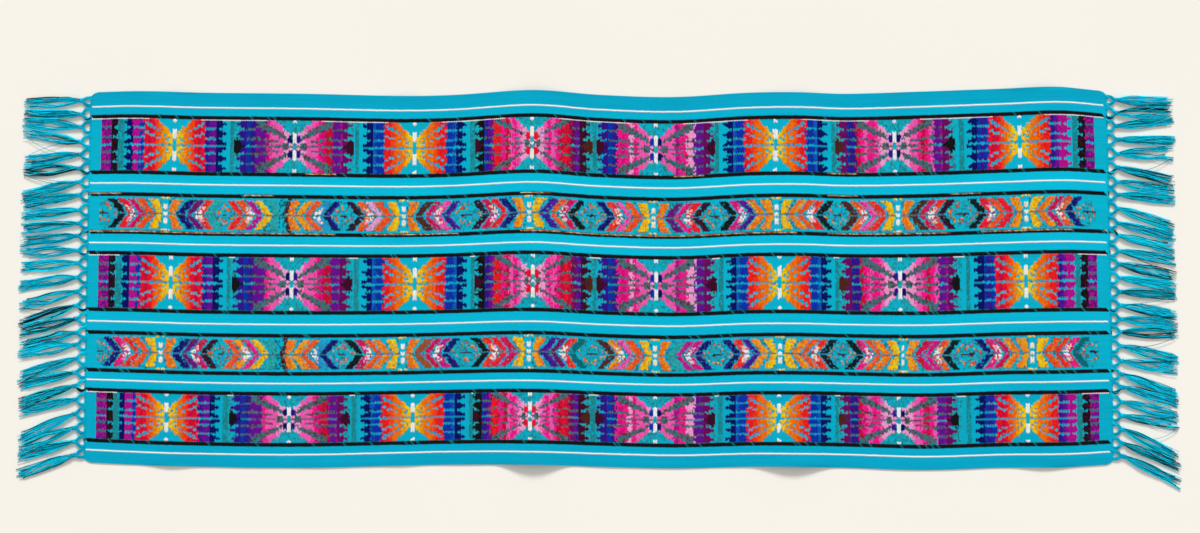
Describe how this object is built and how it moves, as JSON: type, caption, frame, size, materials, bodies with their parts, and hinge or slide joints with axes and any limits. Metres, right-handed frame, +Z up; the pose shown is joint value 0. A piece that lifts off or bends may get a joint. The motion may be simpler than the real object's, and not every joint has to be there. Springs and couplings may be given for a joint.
{
  "type": "rebozo",
  "caption": "Long rectangular woven shawl laid out flat, with soft cross ridges and a knotted net and tassel fringe along each short end.",
  "frame": {"origin": "middle of the whole shawl's bounding box, on the surface that it lies on", "axes": "+X along the shawl's length towards its right end, +Y across it towards the far selvedge, +Z up"},
  "size_m": [2.1796, 0.7524, 0.0145],
  "materials": {
    "woven_cotton": "plain weave cotton with brocaded bands, matt",
    "fringe_yarn": "loose cotton warp yarns, matt"
  },
  "bodies": {
    "root": {"cloth": "woven_cotton", "fringe_left": "fringe_yarn", "fringe_right": "fringe_yarn"}
  },
  "joints": []
}
